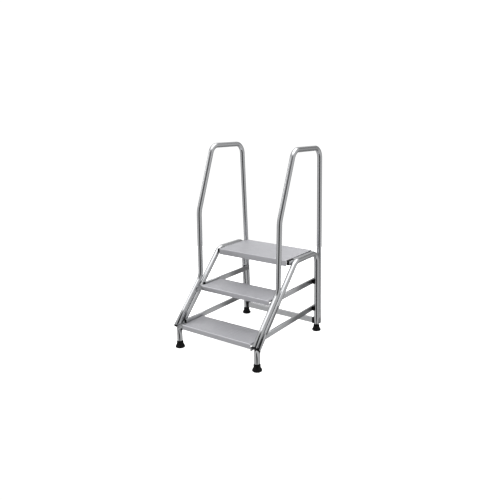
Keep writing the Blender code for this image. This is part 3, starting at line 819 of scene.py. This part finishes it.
# ---------------------------------------------------------------- plugs and feet
class LADDER_OT_plugs(bpy.types.Operator):
    """Makes the black push-in plugs of the tubes and the flat braces"""
    bl_idname = "ladder.plugs"
    bl_label = "Plugs"

    def execute(self, context):
        lay, trim = Layout(context.scene.ladder_tubes), context.scene.ladder_trim
        black = finish(context, "plastic")
        for side, sign in SIDES:
            x = sign * lay.half
            post = Vector((lay.post_y(lay.t.post_end), lay.t.post_end))
            for label, end, out, radius, stretch in (
                    ("handrail", lay.rail_end, -lay.along, lay.rh, 1.0),
                    ("stringer", lay.stringer_end, -lay.along, lay.rf, 1 / math.cos(lay.pitch)),
                    ("post", post, lay.down, lay.rh, 1.0)):
                top, inner = trim.plug_t, radius - lay.t.wall - GAP
                profile = [(0.0, top), (0.55 * radius, top), (radius - 0.0035, top - 0.0002),
                           (radius - 0.0015, top - 0.0006), (radius - 0.0004, top - 0.0016),
                           (radius, top - 0.003), (radius, 0.0), (inner, 0.0), (inner, -trim.plug_depth),
                           (0.0, -trim.plug_depth)]

                def widen(vert):
                    if math.hypot(vert.co.x, vert.co.y) > inner + GAP / 2 or vert.co.z > 0.5 * top:
                        vert.co.y *= stretch

                bm = bmesh.new()
                spot = lay.at(x, end + out * GAP)
                turned(bm, profile, 48, placed(spot, (0, out.x, out.y)), widen)
                name = f"{label}_plug_{side}"
                finished(bm, name, black, [name])
            for level in ("lower", "upper"):
                for end, out in (("front", -1), ("rear", 1)):
                    name = f"{level}_brace_plug_{side}_{end}"
                    low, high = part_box(name)
                    edge = low.y + BRACE_PLUG_HEAD if out < 0 else high.y - BRACE_PLUG_HEAD
                    face = edge + out * BRACE_PLUG_HEAD
                    bm = bmesh.new()
                    y0, y1 = sorted((edge, face))
                    block(bm, (low.x, y0, low.z), (high.x, y1, high.z), trim.brace_r, 6, only=1)
                    rim = [e for e in bm.edges if all(abs(v.co.y - face) < 1e-6 for v in e.verts)]
                    eased(bm, rim, 0.0009, 3)
                    slack = trim.brace_wall + GAP
                    y0, y1 = sorted((edge + out * 0.0005, edge - out * trim.plug_depth))
                    block(bm, (low.x + slack, y0, low.z + slack), (high.x - slack, y1, high.z - slack),
                          trim.brace_r - trim.brace_wall, 3, only=1)
                    finished(bm, name, black, [name])
        return {"FINISHED"}


class LADDER_OT_feet(bpy.types.Operator):
    """Moulds the four flared rubber feet; each socket follows its leg's lean and the base stays flat"""
    bl_idname = "ladder.feet"
    bl_label = "Feet"

    def execute(self, context):
        lay, trim = Layout(context.scene.ladder_tubes), context.scene.ladder_trim
        h, r, top, sock = trim.foot_h, trim.foot_r, trim.foot_top_r, lay.rf + GAP
        profile = [(0.0, trim.foot_floor), (sock, trim.foot_floor), (sock, h - 0.001), (sock + 0.001, h),
                   (top - 0.0012, h), (top - 0.0003, h - 0.0005), (top, h - 0.0015), (top, h - 0.007),
                   (top - 0.0003, h - 0.0085), (top - 0.0010, h - 0.0095), (top - 0.0008, h - 0.011),
                   (top + 0.0010, 0.62 * h), (top + 0.0030, 0.50 * h), (top + 0.0058, 0.38 * h),
                   (r - 0.0024, 0.28 * h), (r - 0.0010, 0.24 * h), (r - 0.0003, 0.20 * h), (r, 0.165 * h),
                   (r, 0.003), (r - 0.0006, 0.0012), (r - 0.0020, 0.0), (r - 0.0070, 0.0),
                   (r - 0.0078, 0.0012), (r - 0.0138, 0.0012), (r - 0.0146, 0.0), (0.0, 0.0)]
        for end, y, lean in (("front", 0.0, 0.0), ("rear", lay.t.base_depth, -math.tan(lay.t.rear_lean))):
            for side, sign in SIDES:

                def shape(vert):
                    far, z = math.hypot(vert.co.x, vert.co.y), vert.co.z
                    if far > sock + 0.0005 and 0.22 * h < z < h - 0.010:
                        swell = math.sin(math.pi * (z - 0.22 * h) / (0.78 * h - 0.010))
                        angle = math.atan2(vert.co.y, vert.co.x)
                        k = 1 - 0.00055 / far * swell * (1 + math.cos(trim.flutes * angle))
                        vert.co.x, vert.co.y = vert.co.x * k, vert.co.y * k
                    vert.co.y += z * lean

                bm = bmesh.new()
                place = Matrix.Translation(lay.at(sign * lay.half, (y, 0.0)))
                turned(bm, profile, 8 * max(trim.flutes, 6), place, shape)
                name = f"{end}_foot_{side}"
                finished(bm, name, finish(context, "rubber"), [name])
        return {"FINISHED"}


class LADDER_OT_strip(bpy.types.Operator):
    """Lays a plain dark vinyl strip along the outer face of the right stringer"""
    bl_idname = "ladder.strip"
    bl_label = "Plain Strip"

    def execute(self, context):
        lay, trim = Layout(context.scene.ladder_tubes), context.scene.ladder_trim
        along = Vector((0, lay.along.x, lay.along.y))
        radius, span = lay.rf + 0.0003, trim.strip_w / (lay.rf + 0.0003)
        origin = lay.at(lay.half, lay.stringer_end + lay.along * STRIP_START)
        bm = bmesh.new()
        across = Vector((0, lay.across.x, lay.across.y))
        first = STRIP_FACING - span / 2
        spoke = Vector((math.cos(first), 0, 0)) + across * math.sin(first)
        a = bm.verts.new(origin + spoke * radius)
        b = bm.verts.new(origin + spoke * radius + along * trim.strip_length)
        edge = bm.edges.new((a, b))
        turn = 1 if Vector((1, 0, 0)).cross(across).dot(along) > 0 else -1
        bmesh.ops.spin(bm, geom=[a, b, edge], cent=origin, axis=along * turn, angle=span, steps=6,
                       use_merge=False, use_duplicate=False)
        for face in bm.faces:
            if face.normal.dot(face.calc_center_median() - origin - along * trim.strip_length / 2) < 0:
                face.normal_flip()
        walled(finished(bm, "plain_strip_right", finish(context, "vinyl"), []), 0.0002)
        return {"FINISHED"}


# ---------------------------------------------------------------- stage
class LADDER_OT_stage(bpy.types.Operator):
    """Sets the pale floor, the soft surrounding light and the camera"""
    bl_idname = "ladder.stage"
    bl_label = "Stage"

    def execute(self, context):
        scene = context.scene
        bm = bmesh.new()
        bmesh.ops.create_circle(bm, cap_ends=True, radius=FLOOR_RADIUS, segments=96)
        bmesh.ops.bisect_plane(bm, geom=list(bm.verts) + list(bm.edges) + list(bm.faces),
                               plane_co=FACING * FLOOR_REACH, plane_no=FACING, clear_outer=True)
        bmesh.ops.translate(bm, vec=(0, 0, -0.0002), verts=bm.verts)
        mesh = bpy.data.meshes.new("floor")
        bm.to_mesh(mesh)
        bm.free()
        mesh.materials.append(finish(context, "floor"))
        floor = bpy.data.objects.new("floor", mesh)
        floor.visible_glossy = False        # the tubes mirror the tent, not the floor
        scene.collection.objects.link(floor)
        self.surround(scene)
        self.softboxes(scene)
        camera = bpy.data.cameras.new("camera")
        camera.sensor_width, camera.lens = 36.0, CAMERA_LENS
        camera.shift_x, camera.shift_y = CAMERA_SHIFT
        holder = bpy.data.objects.new("camera", camera)
        turn = Matrix.Identity(4)
        for axis, degrees in CAMERA_TURNS:
            turn = turn @ Matrix.Rotation(math.radians(degrees), 4, axis)
        x, y, z = CAMERA_SPOT
        holder.matrix_world = Matrix.Translation((x, y + middle("front_leg_right").y, z)) @ turn
        scene.collection.objects.link(holder)
        scene.camera = holder
        scene.view_settings.view_transform = "Standard"
        return {"FINISHED"}

    def surround(self, scene):
        """A light tent: bright overhead, softer at the sides, with a dark opening for the camera."""
        world = bpy.data.worlds.new("light_tent")
        scene.world = world
        world.use_nodes = True
        tree = world.node_tree
        tree.nodes.clear()
        way = add(tree, "ShaderNodeTexCoord").outputs["Generated"]
        level = add(tree, "ShaderNodeVectorMath", {0: way, 1: (1.0, 1.0, 0.0)}, operation="MULTIPLY")
        flat = add(tree, "ShaderNodeVectorMath", {0: level.outputs[0]}, operation="NORMALIZE")
        toward = add(tree, "ShaderNodeVectorMath", {0: flat.outputs[0], 1: FACING}, operation="DOT_PRODUCT")
        around = self.ranged(tree, toward.outputs["Value"], -1.0, 1.0)
        panels = self.ramp(tree, around, PANELS)
        height = add(tree, "ShaderNodeSeparateXYZ", {0: way}).outputs[2]
        roof = self.ramp(tree, self.ranged(tree, height, -1.0, 1.0), ROOF)
        open_top = blended(tree, self.ranged(tree, height, 0.45, 0.8), panels, WHITE)
        colours = blended(tree, 1.0, open_top, roof, "MULTIPLY")
        boost = self.ranged(tree, height, 0.72, 0.84, 1.0, 2.0)
        tent = add(tree, "ShaderNodeBackground", {"Color": colours, "Strength": boost})
        backdrop = add(tree, "ShaderNodeBackground", {"Color": WHITE, "Strength": 1.05})
        ray = add(tree, "ShaderNodeLightPath")
        pick = add(tree, "ShaderNodeMixShader", {0: ray.outputs["Is Camera Ray"], 1: tent.outputs[0],
                                                 2: backdrop.outputs[0]})
        add(tree, "ShaderNodeOutputWorld", {"Surface": pick.outputs[0]})

    def ranged(self, tree, value, low, high, start=0.0, end=1.0):
        return add(tree, "ShaderNodeMapRange", {"Value": value, "From Min": low, "From Max": high,
                                                "To Min": start, "To Max": end}).outputs[0]

    def ramp(self, tree, value, values):
        node = add(tree, "ShaderNodeValToRGB", {0: value})
        elements = node.color_ramp.elements
        while len(elements) < len(values):
            elements.new(0.5)
        for element, (place, grey) in zip(elements, values):
            element.position = place
            element.color = (grey, grey, grey, 1.0)
        return node.outputs[0]

    def softboxes(self, scene):
        for name, spot, size, power in SOFTBOXES:
            light = bpy.data.lights.new(name, "AREA")
            light.shape, light.size, light.energy = "DISK", size, power
            holder = bpy.data.objects.new(name, light)
            aim = (Vector((0, 0, 0.6)) - Vector(spot)).to_track_quat("-Z", "Y")
            holder.matrix_world = Matrix.Translation(spot) @ aim.to_matrix().to_4x4()
            scene.collection.objects.link(holder)


# ---------------------------------------------------------------- panel and registration
OPERATORS = (LADDER_OT_side_frames, LADDER_OT_front_legs, LADDER_OT_handrails, LADDER_OT_braces,
             LADDER_OT_saddles, LADDER_OT_treads, LADDER_OT_brackets, LADDER_OT_fasteners,
             LADDER_OT_plugs, LADDER_OT_feet, LADDER_OT_strip, LADDER_OT_stage)
GROUPS = {"ladder_tubes": TubeSizes, "ladder_treads": TreadSizes, "ladder_trim": TrimSizes,
          "ladder_finishes": Finishes}


class LADDER_PT_stand(bpy.types.Panel):
    """Sizes, colours and pieces of the ladder stand"""
    bl_idname = "LADDER_PT_stand"
    bl_label = "Ladder Stand"
    bl_space_type = "VIEW_3D"
    bl_region_type = "UI"
    bl_category = "Ladder Stand"

    def draw(self, context):
        for key, group in GROUPS.items():
            box = self.layout.box()
            box.label(text=group.__doc__)
            for name in group.__annotations__:
                box.prop(getattr(context.scene, key), name)
        for operator in OPERATORS:
            self.layout.operator(operator.bl_idname)


def register():
    for item in (*GROUPS.values(), *OPERATORS, LADDER_PT_stand):
        bpy.utils.register_class(item)
    for key, group in GROUPS.items():
        setattr(bpy.types.Scene, key, PointerProperty(type=group))


def unregister():
    for key in GROUPS:
        delattr(bpy.types.Scene, key)
    for item in reversed((*GROUPS.values(), *OPERATORS, LADDER_PT_stand)):
        bpy.utils.unregister_class(item)


def main():
    register()
    for operator in OPERATORS:
        family, name = operator.bl_idname.split(".")
        getattr(getattr(bpy.ops, family), name)()


if __name__ == "__main__":
    main()
